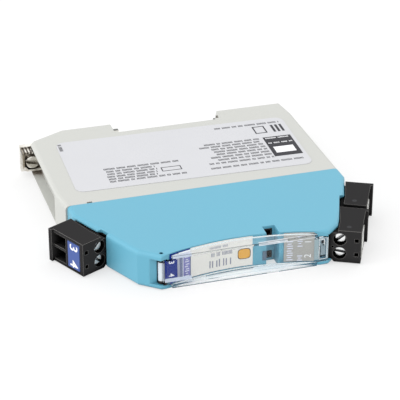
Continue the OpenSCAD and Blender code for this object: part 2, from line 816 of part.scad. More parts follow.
on_right(0) clamp_cage(pole_z[0]);  // cage_safe_a_1
on_right(0) clamp_cage(pole_z[1]);  // cage_safe_a_2
on_right(1) clamp_cage(pole_z[0]);  // cage_safe_b_1
on_right(1) clamp_cage(pole_z[1]);  // cage_safe_b_2
on_left() plug_contacts();  // contacts_haz
on_right(0) plug_contacts();  // contacts_safe_a
on_right(1) plug_contacts();  // contacts_safe_b
on_left() plug_header();  // header_haz
on_right(0) plug_header();  // header_safe_a
on_right(1) plug_header();  // header_safe_b
on_left() header_pins();  // pins_haz
on_right(0) header_pins();  // pins_safe_a
on_right(1) header_pins();  // pins_safe_b
clamp_bracket();
clamp_screw();
clamp_bar();
rail_hook();
circuit_board();
fuses();
resistors();
zener_diodes();
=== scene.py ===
import json
import math

import bpy
import numpy as np
from mathutils import Euler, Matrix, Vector


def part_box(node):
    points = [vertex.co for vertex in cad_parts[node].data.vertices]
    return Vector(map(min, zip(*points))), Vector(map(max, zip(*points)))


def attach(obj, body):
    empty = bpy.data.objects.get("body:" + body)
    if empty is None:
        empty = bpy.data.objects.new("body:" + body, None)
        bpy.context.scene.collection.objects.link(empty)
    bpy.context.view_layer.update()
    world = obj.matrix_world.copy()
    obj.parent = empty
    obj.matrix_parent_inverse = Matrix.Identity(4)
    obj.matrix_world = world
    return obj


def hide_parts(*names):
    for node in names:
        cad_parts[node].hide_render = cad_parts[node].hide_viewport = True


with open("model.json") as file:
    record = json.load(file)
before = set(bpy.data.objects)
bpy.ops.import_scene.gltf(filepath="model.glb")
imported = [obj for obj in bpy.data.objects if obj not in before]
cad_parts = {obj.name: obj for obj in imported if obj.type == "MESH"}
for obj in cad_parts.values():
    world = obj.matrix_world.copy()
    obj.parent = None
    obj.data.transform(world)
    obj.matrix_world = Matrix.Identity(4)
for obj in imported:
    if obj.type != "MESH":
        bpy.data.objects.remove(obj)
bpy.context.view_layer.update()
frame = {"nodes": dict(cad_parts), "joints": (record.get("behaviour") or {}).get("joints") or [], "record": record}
mm = 0.001  # metres in a millimetre
print("frame loaded:", len(frame["nodes"]), "nodes")


# Camera and studio

camera = {
    "place": (-0.1556, -0.555, 0.291),
    "turn": (61.83, 0.0, -16.84),  # degrees
    "focal": 160.6,  # millimetres
    "sensor": 36.0,  # millimetres
    "reach": 20.0,  # farthest thing seen, metres
}

studio = {
    "floorSize": 6.0,
    "floorColour": (0.30, 0.30, 0.30),
    "floorRoughness": 0.9,
    "floorGloss": 0.1,
    "floorGlow": 0.60,  # lifts the soft shadow under the module
    "skyColour": (1.0, 1.0, 1.0),
    "skyPower": 1.15,
    "aim": (0, -0.04, 0),  # where the lamps look
    # lamps: place, size, power
    "lamps": {
        "keyLamp": ((-0.50, -0.25, 0.95), 0.7, 2.75),
        "fillLamp": ((0.75, 0.35, 0.60), 0.9, 1.2),
        "sideLamp": ((-1.15, 0.0, 0.35), 0.8, 6.0),
    },
}


def makeCamera(look):
    data = bpy.data.cameras.new("camera")
    data.lens = look["focal"]
    data.sensor_width = look["sensor"]
    data.clip_end = look["reach"]
    cam = bpy.data.objects.new("camera", data)
    cam.location = look["place"]
    cam.rotation_euler = Euler([math.radians(a) for a in look["turn"]])
    bpy.context.collection.objects.link(cam)
    bpy.context.scene.camera = cam


def makeLamp(name, place, size, power, aim):
    data = bpy.data.lights.new(name, "AREA")
    data.size = size
    data.energy = power
    lamp = bpy.data.objects.new(name, data)
    lamp.location = place
    lamp.rotation_euler = (Vector(aim) - Vector(place)).to_track_quat("-Z", "Y").to_euler()
    bpy.context.collection.objects.link(lamp)


def makeStudio(look):
    half = look["floorSize"] / 2
    mesh = bpy.data.meshes.new("studioFloor")
    corners = [(-half, -half, 0), (half, -half, 0), (half, half, 0), (-half, half, 0)]
    mesh.from_pydata(corners, [], [(0, 1, 2, 3)])
    floor = bpy.data.objects.new("studioFloor", mesh)
    bpy.context.collection.objects.link(floor)
    mat = bpy.data.materials.new("studioFloor")
    mat.use_nodes = True
    shader = mat.node_tree.nodes["Principled BSDF"]
    shader.inputs["Base Color"].default_value = (*look["floorColour"], 1)
    shader.inputs["Roughness"].default_value = look["floorRoughness"]
    shader.inputs["Specular IOR Level"].default_value = look["floorGloss"]
    shader.inputs["Emission Color"].default_value = (1, 1, 1, 1)
    shader.inputs["Emission Strength"].default_value = look["floorGlow"]
    mesh.materials.append(mat)
    world = bpy.data.worlds.new("studio")
    world.use_nodes = True
    sky = world.node_tree.nodes["Background"]
    sky.inputs["Color"].default_value = (*look["skyColour"], 1)
    sky.inputs["Strength"].default_value = look["skyPower"]
    bpy.context.scene.world = world
    bpy.context.scene.view_settings.view_transform = "Standard"
    for name, (place, size, power) in look["lamps"].items():
        makeLamp(name, place, size, power, look["aim"])


makeCamera(camera)
makeStudio(studio)
print("camera and studio ready")


# Shader helpers and the node groups that several finishes share

def addNode(tree, kind, inputs=None, **settings):
    node = tree.nodes.new(kind)
    for key, value in settings.items():
        setattr(node, key, value)
    for key, value in (inputs or {}).items():
        if isinstance(value, bpy.types.NodeSocket):
            tree.links.new(value, node.inputs[key])
        else:
            node.inputs[key].default_value = value
    return node


def newGroup(name, inputs, outputs):
    group = bpy.data.node_groups.new(name, "ShaderNodeTree")
    for label, default in inputs.items():
        socket = group.interface.new_socket(label, in_out="INPUT", socket_type="NodeSocketFloat")
        socket.default_value = default
    for label in outputs:
        group.interface.new_socket(label, in_out="OUTPUT", socket_type="NodeSocketFloat")
    return group, group.nodes.new("NodeGroupInput"), group.nodes.new("NodeGroupOutput")


def maths(tree, operation, a, b=0.0, clamp=False):
    return addNode(tree, "ShaderNodeMath", {0: a, 1: b}, operation=operation, use_clamp=clamp).outputs[0]


# A value from 0 to 1 carried to the range low to high.
def spread(tree, value, low, high):
    return addNode(tree, "ShaderNodeMapRange", {"Value": value, "To Min": low, "To Max": high}).outputs[0]


# 0 below low, 1 above high, straight between.
def ramp(tree, value, low, high):
    return addNode(tree, "ShaderNodeMapRange", {"Value": value, "From Min": low, "From Max": high}).outputs[0]


def useGroup(tree, group, **values):
    node = tree.nodes.new("ShaderNodeGroup")
    node.node_tree = group
    for key, value in values.items():
        node.inputs[key].default_value = value
    return node


# Spark-eroded texture of a moulded face: Grain is a fine noise for height, Drift a slow noise for tone.
def buildMouldGrain():
    group, given, result = newGroup("mouldGrain", {"Size": 0.0003, "Patch": 0.02}, ["Grain", "Drift"])
    place = addNode(group, "ShaderNodeTexCoord").outputs["Object"]
    fineScale = maths(group, "DIVIDE", 1.0, given.outputs["Size"])
    slowScale = maths(group, "DIVIDE", 1.0, given.outputs["Patch"])
    fine = addNode(group, "ShaderNodeTexNoise", {"Vector": place, "Scale": fineScale, "Detail": 3.0})
    slow = addNode(group, "ShaderNodeTexNoise", {"Vector": place, "Scale": slowScale, "Detail": 2.0})
    group.links.new(fine.outputs["Fac"], result.inputs["Grain"])
    group.links.new(slow.outputs["Fac"], result.inputs["Drift"])
    return group


# Fine drawn lines along X on metal: noise stretched along the lines, plus a slow stain mask.
def buildBrushLines():
    group, given, result = newGroup("brushLines", {"Width": 0.00008, "Stain": 0.004}, ["Line", "Stain"])
    place = addNode(group, "ShaderNodeTexCoord").outputs["Object"]
    squeezed = addNode(group, "ShaderNodeMapping", {"Vector": place, "Scale": (0.06, 1.0, 1.0)}).outputs[0]
    lineScale = maths(group, "DIVIDE", 1.0, given.outputs["Width"])
    stainScale = maths(group, "DIVIDE", 1.0, given.outputs["Stain"])
    line = addNode(group, "ShaderNodeTexNoise", {"Vector": squeezed, "Scale": lineScale, "Detail": 2.0})
    stain = addNode(group, "ShaderNodeTexNoise", {"Vector": place, "Scale": stainScale, "Detail": 4.0})
    group.links.new(line.outputs["Fac"], result.inputs["Line"])
    group.links.new(stain.outputs["Fac"], result.inputs["Stain"])
    return group


mouldGrain = buildMouldGrain()
brushLines = buildBrushLines()


def startMaterial(name):
    mat = bpy.data.materials.new(name)
    mat.use_nodes = True
    tree = mat.node_tree
    return mat, tree, tree.nodes["Principled BSDF"]


def mixColour(tree, factor, a, b):
    node = addNode(tree, "ShaderNodeMix", data_type="RGBA")
    for socket, value in ((node.inputs[0], factor), (node.inputs[6], a), (node.inputs[7], b)):
        if isinstance(value, bpy.types.NodeSocket):
            tree.links.new(value, socket)
        else:
            socket.default_value = value
    return node.outputs[2]


def shade(colour, share=1.0):
    return (*[c * share for c in colour], 1)


edgeGain = 4.0  # how fast the edge mask grows with the lean
paintedShadeSpan = 0.4  # share of free directions over which the painted shade in slots and recesses fades out


# Rounded normal over every sharp edge, and a mask of how far it leans from the face's own normal; the finishes paint an
# edge highlight with this mask.
def softEdges(tree, radius):
    rounded = addNode(tree, "ShaderNodeBevel", {"Radius": radius}, samples=6).outputs[0]
    flat = addNode(tree, "ShaderNodeNewGeometry").outputs["Normal"]
    dot = addNode(tree, "ShaderNodeVectorMath", {0: rounded, 1: flat}, operation="DOT_PRODUCT").outputs["Value"]
    lean = maths(tree, "SUBTRACT", 1.0, dot)
    return rounded, maths(tree, "MULTIPLY", lean, edgeGain, clamp=True)


# 1 in the open, falling to 0 in slots and bores, from the share of near directions left free; where it falls, painted
# shade is mixed in.
def openness(tree, look):
    near = addNode(tree, "ShaderNodeAmbientOcclusion", {"Distance": look["paintedShadeReach"]}, samples=8)
    return ramp(tree, near.outputs["AO"], look["paintedShadeFrom"], look["paintedShadeFrom"] + paintedShadeSpan)


# Links into the shader's inputs; an underscore in a key stands for a space.
def feed(tree, shader, **values):
    for key, value in values.items():
        tree.links.new(value, shader.inputs[key.replace("_", " ")])


plasticGrain = {
    "patch": 0.02,  # size of the slow drift in tone, metres
    "darkest": 0.97,  # share of the colour in its darkest patches
    "spread": 0.05,  # roughness either side of its mean
    "height": 0.00005,  # of the grain, metres
}


def mouldedPlastic(name, look):
    fixed = plasticGrain
    mat, tree, shader = startMaterial(name)
    rounded, edge = softEdges(tree, look["edgeRadius"])
    grain = useGroup(tree, mouldGrain, Size=look["grainSize"], Patch=fixed["patch"])
    drift = grain.outputs["Drift"]
    tone = mixColour(tree, drift, shade(look["colour"], fixed["darkest"]), shade(look["colour"]))
    # Painted highlight: edges mixed towards a lighter edge colour.
    tone = mixColour(tree, maths(tree, "MULTIPLY", edge, look["edgeLightShare"]), tone, shade(look["edgeLightColour"]))
    # Painted shade: slots, bores and recesses mixed towards a darker colour.
    if "paintedShadeColour" in look:
        tone = mixColour(tree, openness(tree, look), shade(look["paintedShadeColour"]), tone)
    bump = addNode(tree, "ShaderNodeBump", {"Height": grain.outputs["Grain"], "Strength": look["grainDepth"],
                                            "Distance": fixed["height"], "Normal": rounded}).outputs[0]
    rough = spread(tree, drift, look["roughness"] - fixed["spread"], look["roughness"] + fixed["spread"])
    feed(tree, shader, Base_Color=tone, Normal=bump, Roughness=rough)
    shader.inputs["Specular IOR Level"].default_value = look["gloss"]
    return mat


metalLines = {
    "stainSize": 0.004,  # metres
    "edgeLightShare": 0.5,
    "smoother": 0.08,  # roughness taken off on the lines' crests
    "rougher": 0.10,  # and added in their troughs
    "depth": 0.15,
    "height": 0.00002,  # of the lines, metres
    "tipFade": 0.0006,  # length over which a tip's tone comes in, metres
    "toothGain": 1.5,
    "toothShare": 0.9,
}


def platedMetal(name, look):
    fixed = metalLines
    mat, tree, shader = startMaterial(name)
    rounded, edge = softEdges(tree, look["edgeRadius"])
    lines = useGroup(tree, brushLines, Width=look["lineWidth"], Stain=fixed["stainSize"])
    clean = ramp(tree, lines.outputs["Stain"], *look["stain"])
    tone = mixColour(tree, clean, shade(look["dark"]), shade(look["colour"]))
    # Painted highlight: edges mixed towards a lighter edge colour.
    tone = mixColour(tree, maths(tree, "MULTIPLY", edge, fixed["edgeLightShare"]), tone, shade(look["edgeLightColour"]))
    # Painted shade: slots, bores and recesses mixed towards a darker colour.
    if "paintedShadeColour" in look:
        tone = mixColour(tree, openness(tree, look), shade(look["paintedShadeColour"]), tone)
    if "tip" in look:
        tone = mixColour(tree, tipShare(tree, look), tone, shade(look["tip"]))
    line = lines.outputs["Line"]
    rough = spread(tree, line, look["roughness"] - fixed["smoother"], look["roughness"] + fixed["rougher"])
    bump = addNode(tree, "ShaderNodeBump", {"Height": line, "Strength": fixed["depth"], "Distance": fixed["height"],
                                            "Normal": rounded}).outputs[0]
    feed(tree, shader, Base_Color=tone, Normal=bump, Roughness=rough)
    shader.inputs["Metallic"].default_value = 1.0
    return mat


# How far a point lies past the tip's start along one axis; teeth cut the mask by a sine wave along X.
def tipShare(tree, look):
    place = addNode(tree, "ShaderNodeTexCoord").outputs["Object"]
    along = addNode(tree, "ShaderNodeSeparateXYZ", {0: place}).outputs
    far = ramp(tree, along[look["tipAxis"]], look["tipFrom"], look["tipFrom"] + metalLines["tipFade"])
    if "teeth" not in look:
        return far
    wave = maths(tree, "SINE", maths(tree, "MULTIPLY", along[0], 2 * math.pi / look["teeth"]))
    tooth = maths(tree, "MULTIPLY", wave, metalLines["toothGain"])
    return maths(tree, "MULTIPLY", far, maths(tree, "ADD", tooth, metalLines["toothShare"], clamp=True))


filmGrain = {
    "patch": 0.012,  # metres
    "darkest": 0.96,
    "depth": 0.1,
    "height": 0.0001,  # metres
    "spread": 0.06,
    "gloss": 0.4,
}


def labelFilm(name, look):
    fixed = filmGrain
    mat, tree, shader = startMaterial(name)
    grain = useGroup(tree, mouldGrain, Size=look["grainSize"], Patch=fixed["patch"])
    drift = grain.outputs["Drift"]
    tone = mixColour(tree, drift, shade(look["colour"], fixed["darkest"]), shade(look["colour"]))
    bump = addNode(tree, "ShaderNodeBump", {"Height": drift, "Strength": fixed["depth"],
                                            "Distance": fixed["height"]}).outputs[0]
    rough = spread(tree, grain.outputs["Grain"], look["roughness"] - fixed["spread"],
                   look["roughness"] + fixed["spread"])
    feed(tree, shader, Base_Color=tone, Normal=bump, Roughness=rough)
    shader.inputs["Specular IOR Level"].default_value = look.get("gloss", fixed["gloss"])
    shader.inputs["Alpha"].default_value = look.get("alpha", 1.0)
    return mat


clearScuffs = {
    "size": 0.0012,  # metres
    "patch": 0.008,  # metres
    "spread": 0.06,
    "depth": 0.08,
    "height": 0.0003,  # metres
}


# Polished clear plastic with fine scuffs; shadow and diffuse light pass it freely.
def clearPlastic(name, look):
    fixed = clearScuffs
    mat, tree, shader = startMaterial(name)
    grain = useGroup(tree, mouldGrain, Size=fixed["size"], Patch=fixed["patch"])
    drift = grain.outputs["Drift"]
    rough = spread(tree, drift, look["roughness"], look["roughness"] + fixed["spread"])
    bump = addNode(tree, "ShaderNodeBump", {"Height": drift, "Strength": fixed["depth"],
                                            "Distance": fixed["height"]}).outputs[0]
    edge = softEdges(tree, look["edgeRadius"])[1]
    body = mixColour(tree, grain.outputs["Grain"], shade(look["colour"]), shade(look["tint"]))
    # Painted edge shade: the cover's edges mixed towards a darker tint.
    tone = mixColour(tree, edge, body, shade(look["edgeLightColour"]))
    feed(tree, shader, Base_Color=tone, Normal=bump, Roughness=rough)
    shader.inputs["IOR"].default_value = look["ior"]
    shader.inputs["Transmission Weight"].default_value = 1.0
    through = addNode(tree, "ShaderNodeBsdfTransparent")
    path = addNode(tree, "ShaderNodeLightPath")
    soft = maths(tree, "MAXIMUM", path.outputs["Is Shadow Ray"], path.outputs["Is Diffuse Ray"])
    blend = addNode(tree, "ShaderNodeMixShader", {0: soft, 1: shader.outputs[0], 2: through.outputs[0]})
    tree.links.new(blend.outputs[0], tree.nodes["Material Output"].inputs["Surface"])
    return mat


# In these looks the recess colour is painted shade in slots and bores, and the edge colour a painted edge highlight.
nickelLook = {
    "colour": (0.86, 0.83, 0.77), "dark": (0.30, 0.26, 0.20), "edgeLightColour": (0.98, 0.96, 0.92),
    "stain": (0.38, 0.56),  # where the stain mask starts and ends
    "roughness": 0.30, "edgeRadius": 0.00015, "lineWidth": 0.00012,
    "paintedShadeColour": (0.10, 0.07, 0.045), "paintedShadeReach": 0.0016, "paintedShadeFrom": 0.3,
}
screwLook = {
    "colour": (0.97, 0.98, 0.98), "dark": (0.85, 0.87, 0.88), "edgeLightColour": (0.95, 0.95, 0.95), "stain": (0.0, 1.0),
    "roughness": 0.27, "edgeRadius": 0.0001, "lineWidth": 0.00010,
    "paintedShadeColour": (0.02, 0.02, 0.022), "paintedShadeReach": 0.0010, "paintedShadeFrom": 0.48,
}
clampLook = {
    **nickelLook, "colour": (0.90, 0.88, 0.83), "dark": (0.55, 0.51, 0.44), "edgeLightColour": (0.98, 0.97, 0.94),
    "stain": (0.35, 0.6), "roughness": 0.28,
}
# In these finishes the recess colour is painted shade in hollows, and the edge colour a painted edge highlight.
finishes = {
    "base_plastic": mouldedPlastic("basePlastic", {
        "colour": (0.47, 0.475, 0.45), "edgeLightColour": (0.60, 0.60, 0.575), "edgeLightShare": 0.5, "edgeRadius": 0.0003,
        "paintedShadeColour": (0.20, 0.165, 0.13), "paintedShadeReach": 0.006, "paintedShadeFrom": 0.12,
        "roughness": 0.48, "grainSize": 0.00035, "grainDepth": 0.35, "gloss": 0.4}),
    "front_plastic": mouldedPlastic("frontPlastic", {
        "colour": (0.108, 0.350, 0.470), "edgeLightColour": (0.22, 0.46, 0.58), "edgeLightShare": 0.6, "edgeRadius": 0.0003,
        "paintedShadeColour": (0.012, 0.10, 0.16), "paintedShadeReach": 0.004, "paintedShadeFrom": 0.12,
        "roughness": 0.45, "grainSize": 0.00035, "grainDepth": 0.3, "gloss": 0.4}),
    "black_plastic": mouldedPlastic("blackPlastic", {
        "colour": (0.0285, 0.0280, 0.0285), "edgeLightColour": (0.26, 0.25, 0.24), "edgeLightShare": 0.9,
        "edgeRadius": 0.0003, "paintedShadeColour": (0.002, 0.002, 0.002), "paintedShadeReach": 0.0050, "paintedShadeFrom": 0.38,
        "roughness": 0.55, "grainSize": 0.00025, "grainDepth": 0.35, "gloss": 0.0}),
    "board_laminate": mouldedPlastic("boardLaminate", {
        "colour": (0.02, 0.16, 0.07), "edgeLightColour": (0.45, 0.36, 0.20), "edgeLightShare": 0.7, "edgeRadius": 0.0002,
        "roughness": 0.30, "grainSize": 0.0009, "grainDepth": 0.2, "gloss": 0.5}),
    "fuse_glass": mouldedPlastic("fuseLacquer", {
        "colour": (0.35, 0.55, 0.48), "edgeLightColour": (0.5, 0.66, 0.6), "edgeLightShare": 0.4, "edgeRadius": 0.0002,
        "roughness": 0.2, "grainSize": 0.0006, "grainDepth": 0.1, "gloss": 0.5}),
    "resistor_body": mouldedPlastic("resistorLacquer", {
        "colour": (0.45, 0.34, 0.20), "edgeLightColour": (0.55, 0.45, 0.3), "edgeLightShare": 0.4, "edgeRadius": 0.0002,
        "roughness": 0.35, "grainSize": 0.0006, "grainDepth": 0.2, "gloss": 0.5}),
    "diode_body": mouldedPlastic("diodeMoulding", {
        "colour": (0.012, 0.012, 0.013), "edgeLightColour": (0.05, 0.05, 0.05), "edgeLightShare": 0.5, "edgeRadius": 0.0002,
        "roughness": 0.5, "grainSize": 0.0003, "grainDepth": 0.3, "gloss": 0.3}),
    "nickel_plate": platedMetal("nickelPlate", nickelLook),
    "screw_steel": platedMetal("zincScrew", screwLook),
    "contact_brass": platedMetal("contactBrass", {
        "colour": (0.70, 0.60, 0.36), "dark": (0.52, 0.42, 0.22), "edgeLightColour": (0.85, 0.78, 0.55),
        "stain": (0.0, 1.0), "roughness": 0.30, "edgeRadius": 0.0001, "lineWidth": 0.00010}),
    "clear_plastic": clearPlastic("clearCover", {
        "colour": (0.925, 0.955, 0.965), "tint": (0.89, 0.935, 0.95), "edgeLightColour": (0.66, 0.745, 0.785),
        "edgeRadius": 0.0007, "roughness": 0.03, "ior": 1.34}),
    "label_film": labelFilm("labelFilm", {"colour": (0.510, 0.514, 0.535), "roughness": 0.42, "grainSize": 0.0006}),
    "hazard_film": labelFilm("hazardFilm", {"colour": (0.006, 0.022, 0.20), "roughness": 0.4, "grainSize": 0.0006,
                                            "gloss": 0.02}),
    "name_film": labelFilm("nameFilm", {"colour": (0.74, 0.715, 0.675), "roughness": 0.40, "grainSize": 0.0006}),
    "safe_film": labelFilm("safeFilm", {"colour": (0.355, 0.345, 0.325), "roughness": 0.40, "grainSize": 0.0006}),
    "number_film_haz": labelFilm("numberFilmBlue", {"colour": (0.055, 0.095, 0.29), "roughness": 0.38,
                                                    "grainSize": 0.0005, "gloss": 0.2}),
    "number_film_safe": labelFilm("numberFilmGrey", {"colour": (0.66, 0.66, 0.63), "roughness": 0.38,
                                                     "grainSize": 0.0005}),
}
inks = {
    "darkInk": labelFilm("darkInk", {"colour": (0.022, 0.022, 0.028), "roughness": 0.45, "grainSize": 0.0004,
                                     "gloss": 0.2}),
    "whiteInk": labelFilm("whiteInk", {"colour": (0.80, 0.80, 0.82), "roughness": 0.4, "grainSize": 0.0004}),
    "greyInk": labelFilm("greyInk", {"colour": (0.22, 0.23, 0.30), "roughness": 0.4, "grainSize": 0.0004}),
    "amberInk": labelFilm("amberInk", {"colour": (0.72, 0.36, 0.05), "roughness": 0.4, "grainSize": 0.0004}),
    "lavenderInk": labelFilm("lavenderInk", {"colour": (0.19, 0.19, 0.47), "roughness": 0.4, "grainSize": 0.0004}),
    "paleInk": labelFilm("paleInk", {"colour": (0.66, 0.67, 0.78), "roughness": 0.4, "grainSize": 0.0004}),
    "barInk": labelFilm("barInk", {"colour": (0.13, 0.15, 0.26), "roughness": 0.4, "grainSize": 0.0004}),
    # dark blue-grey patch beside the pocket: painted shade
    "pocketShadeInk": labelFilm("pocketShadeInk", {"colour": (0.085, 0.14, 0.20), "roughness": 0.2, "grainSize": 0.0005}),
    "tealInk": labelFilm("tealInk", {"colour": (0.22, 0.29, 0.33), "roughness": 0.3, "grainSize": 0.0005}),
}

slotOf = {sub["node"]: sub["material_slot"] for sub in frame["record"]["subparts"]}
for name, obj in frame["nodes"].items():
    obj.data.materials.clear()
    obj.data.materials.append(finishes[slotOf[name]])
print("finishes on", len(frame["nodes"]), "nodes")


# Mesh helpers

# Quads between neighbouring rows of points; closed joins the last column to the first.
def gridFaces(rows, columns, closed):
    index = np.arange(rows * columns).reshape(rows, columns)
    if closed:
        index = np.concatenate([index, index[:, :1]], axis=1)
    quads = np.stack([index[:-1, :-1], index[:-1, 1:], index[1:, 1:], index[1:, :-1]], axis=-1)
    return quads.reshape(-1, 4)


def addPiece(name, points, faces, body, slot, mat, smooth=False):
    mesh = bpy.data.meshes.new(name)
    mesh.from_pydata(np.asarray(points).reshape(-1, 3).tolist(), [], [list(f) for f in np.asarray(faces).tolist()])
    mesh.update()
    return finishPiece(name, mesh, body, mat, smooth)


def finishPiece(name, mesh, body, mat, smooth=False):
    mesh.materials.clear()
    mesh.materials.append(mat)
    if smooth:
        mesh.shade_smooth()
    piece = bpy.data.objects.new(name, mesh)
    bpy.context.collection.objects.link(piece)
    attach(piece, body)
    return piece


# One list of points and faces from several (points, faces) pairs.
def joinPatches(patches):
    starts = np.cumsum([0] + [len(p) for p, f in patches[:-1]])
    points = np.concatenate([p for p, f in patches])
    faces = np.concatenate([f + start for start, (p, f) in zip(starts, patches)])
    return points, faces


jointOf = {joint["name"]: joint for joint in frame["joints"]}
print("joints:", list(jointOf))


# Prints on the side label: plain rows of ticks, plain frames and blocks

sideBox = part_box("side_label")
sidePrint = {
    "centre": (-0.7, -22.9),  # middle of the label, mm
    "turn": -1.6,  # the label sits a little askew, degrees
    "lift": 0.015,  # ink above the film, mm
    "tick": 0.26,  # width of one tick, mm
    "tickGap": 0.18,
    "tickHeight": 1.2,
    "wordGap": 0.6,
    # rows of ticks: x from, x to, y, in the label's own plane
    "rows": [
        (-29.4, -3.0, -5.2), (-28.9, -12.0, -7.2), (-28.9, -11.8, -9.1), (-29.3, -11.9, -11.0),
        (-29.2, -12.2, -12.8), (-29.2, -2.6, -14.6),
        (8.6, 28.4, 3.7), (6.4, 28.8, 1.7), (10.2, 28.8, -0.3), (10.6, 29.0, -2.3), (11.0, 29.2, -4.3),
        (8.4, 29.2, -6.4), (10.4, 29.6, -8.5), (6.6, 29.8, -10.8), (6.3, 39.4, -14.2),
        (15.6, 39.2, 15.4)],
    # plain frames: x, y, width, height, line
    "frames": [(-6.8, -10.2, 7.0, 3.0, 0.35), (31.0, 10.6, 4.4, 5.6, 0.5)],
    # plain solid blocks: x, y, width, height
    "blocks": [(35.2, -3.3, 10.2, 15.2), (36.0, 10.6, 0.9, 5.6), (37.6, 10.6, 0.9, 5.6), (39.2, 10.6, 0.9, 5.6)],
    "window": (35.2, -6.0, 7.2, 4.6),  # pale window in the dark block
    "blockRows": [(30.9, 39.4, 3.2), (30.9, 39.4, -0.6)],  # pale rows on the dark block
    "blockTick": 0.8,  # height of their ticks
    "dateRow": (12.3, 17.4, 0),  # row turned upright at the label's left edge: y from, y to
    "dateX": -40.4,
}


# Label plane to frame: turned, moved to the label's middle and lifted off its upper face.
def onSideLabel(points, look, lift):
    t = math.radians(look["turn"])
    x = look["centre"][0] + points[:, 0] * math.cos(t) - points[:, 1] * math.sin(t)
    y = look["centre"][1] + points[:, 0] * math.sin(t) + points[:, 1] * math.cos(t)
    z = np.full_like(x, sideBox[1][2] / mm + lift)
    return np.stack([x, y, z], axis=1) * mm


# Flat quads from an array of x0, y0, x1, y1 rows.
def rectangles(boxes):
    x0, y0, x1, y1 = np.asarray(boxes, dtype=float).T
    corners = np.stack([np.stack([x0, y0], 1), np.stack([x1, y0], 1), np.stack([x1, y1], 1), np.stack([x0, y1], 1)], 1)
    return corners.reshape(-1, 2), np.arange(4 * len(x0)).reshape(-1, 4)


# Rounded patch: rings of the curve |x|^4 + |y|^4 = 1 stretched to the box and shrunk to its middle.
def roundedPatch(x0, x1, y0, y1):
    share, angle = np.meshgrid([1.0, 0.5, 0.0], np.linspace(0, 2 * np.pi, 40, endpoint=False), indexing="ij")
    reach = share * (np.abs(np.cos(angle)) ** 4 + np.abs(np.sin(angle)) ** 4) ** -0.25
    x = (x0 + x1) / 2 + reach * np.cos(angle) * (x1 - x0) / 2
    y = (y0 + y1) / 2 + reach * np.sin(angle) * (y1 - y0) / 2
    return np.stack([x.ravel(), y.ravel()], axis=1), gridFaces(3, 40, True)


# One row of equal ticks, parted into words of three to nine ticks.
def tickRow(row, look, dice):
    step = look["tick"] + look["tickGap"]
    words = dice.integers(3, 10, 40)
    gaps = np.repeat(np.arange(len(words)), words) * look["wordGap"]
    x = row[0] + np.arange(len(gaps)) * step + gaps
    x = x[x < row[1]]
    half = look["tickHeight"] / 2
    return np.stack([x, np.full_like(x, row[2] - half), x + look["tick"], np.full_like(x, row[2] + half)], axis=1)


def frameBars(x, y, width, height, line):
    left, right, low, high = x - width / 2, x + width / 2, y - height / 2, y + height / 2
    return [(left, low, right, low + line), (left, high - line, right, high),
            (left, low + line, left + line, high - line), (right - line, low + line, right, high - line)]


# Box of x0, y0, x1, y1 from its middle and size.
def aboutMiddle(x, y, width, height):
    return x - width / 2, y - height / 2, x + width / 2, y + height / 2


def printSideLabel(look):
    dice = np.random.default_rng(7)

    def show(name, points, faces, layer, ink):
        placed = onSideLabel(points, look, layer * look["lift"])
        addPiece(name, placed, faces, "housing", "label_film", inks[ink])

    show("sideTicks", *rectangles(np.concatenate([tickRow(row, look, dice) for row in look["rows"]])), 1, "darkInk")
    marks = [bar for f in look["frames"] for bar in frameBars(*f)]
    marks += [aboutMiddle(*block) for block in look["blocks"]]
    show("sideMarks", *rectangles(marks), 1, "darkInk")
    show("sideWindow", *rectangles([aboutMiddle(*look["window"])]), 2, "whiteInk")
    small = {**look, "tickHeight": look["blockTick"]}
    boxes = np.concatenate([tickRow(row, small, dice) for row in look["blockRows"]])
    show("sideBlockTicks", *rectangles(boxes), 2, "whiteInk")
    points, faces = rectangles(tickRow(look["dateRow"], look, dice))
    turned = np.stack([look["dateX"] + points[:, 1], points[:, 0]], axis=1)
    show("sideDateTicks", turned, faces[:, ::-1], 1, "darkInk")


printSideLabel(sidePrint)
print("side label printed")


# Prints on the curved front, behind the cover

# plan circle of the front, thickness of a label on it and width of one column of a patch, mm
frontCurve = {"radius": 80.9, "x": 0.3, "y": -165.6, "film": 0.2, "column": 0.6}

frontPrint = {
    "lift": 0.02,  # ink above the film, mm
    "palePatch": (-22.2, -19.6, 1.9, 10.4),  # x from, x to, z from, z to
    "lavenderPatch": (-19.6, -17.2, 1.9, 10.2),
    "amberPatch": (-0.6, 3.3, 4.7, 8.1),
    "tallRow": {"x": (-10.5, -2.7), "z": (3.3, 6.2), "width": 0.42, "gap": 0.48, "every": 2, "wordGap": 0.55,
                "uneven": 0.5},  # strokes' tops differ by up to this
    # rows of ticks: x from, x to, z, height
    "smallRow": (-9.9, -2.8, 7.9, 1.35),
    "thinRow": (-10.3, -4.1, 9.75, 0.8),
    # one tick of a turned row: step, random part of it, height, shift of every other and cut of every third
    "turnedTick": (0.85, 0.2, 0.36, 0.3, 0.4),
    # turned rows: x from, x to, z from, z to
    "turnedRows": [(15.2, 17.2, 2.2, 9.6), (18.6, 20.2, 1.9, 4.4), (18.6, 20.2, 7.2, 9.8)],
    "lavenderRow": (-19.1, -17.6, 2.6, 9.6),
    "safeDigits": (("2", 22.0, 3.8), ("1", 22.0, 9.0)),  # digit, x, z
    "safeDigitSize": 3.0,
    "amberLine": 0.22,
    "pocketShadePatch": (7.45, 8.78, 3.0, 6.4),  # painted shade: dark patch beside the pocket where its inside lies in shade
}


# Plan circle of the curved front: y is the circle's far side at x, less the film and the lift.
def onFront(x, z, lift):
    c = frontCurve
    r = c["radius"] - c["film"] - lift
    y = c["y"] + np.sqrt(r * r - (x - c["x"]) ** 2)
    return np.stack([x, y, z], axis=-1) * mm


# Grid of x and z laid on the plan circle, from x0, x1, z0, z1.
def frontPatch(name, patch, slot, ink, lift):
    x0, x1, z0, z1 = patch
    columns = max(4, int((x1 - x0) / frontCurve["column"]))
    x, z = np.meshgrid(np.linspace(x0, x1, columns), np.array([z0, z1]))
    addPiece(name, onFront(x, z, lift), gridFaces(2, columns, False), "housing", slot, inks[ink])


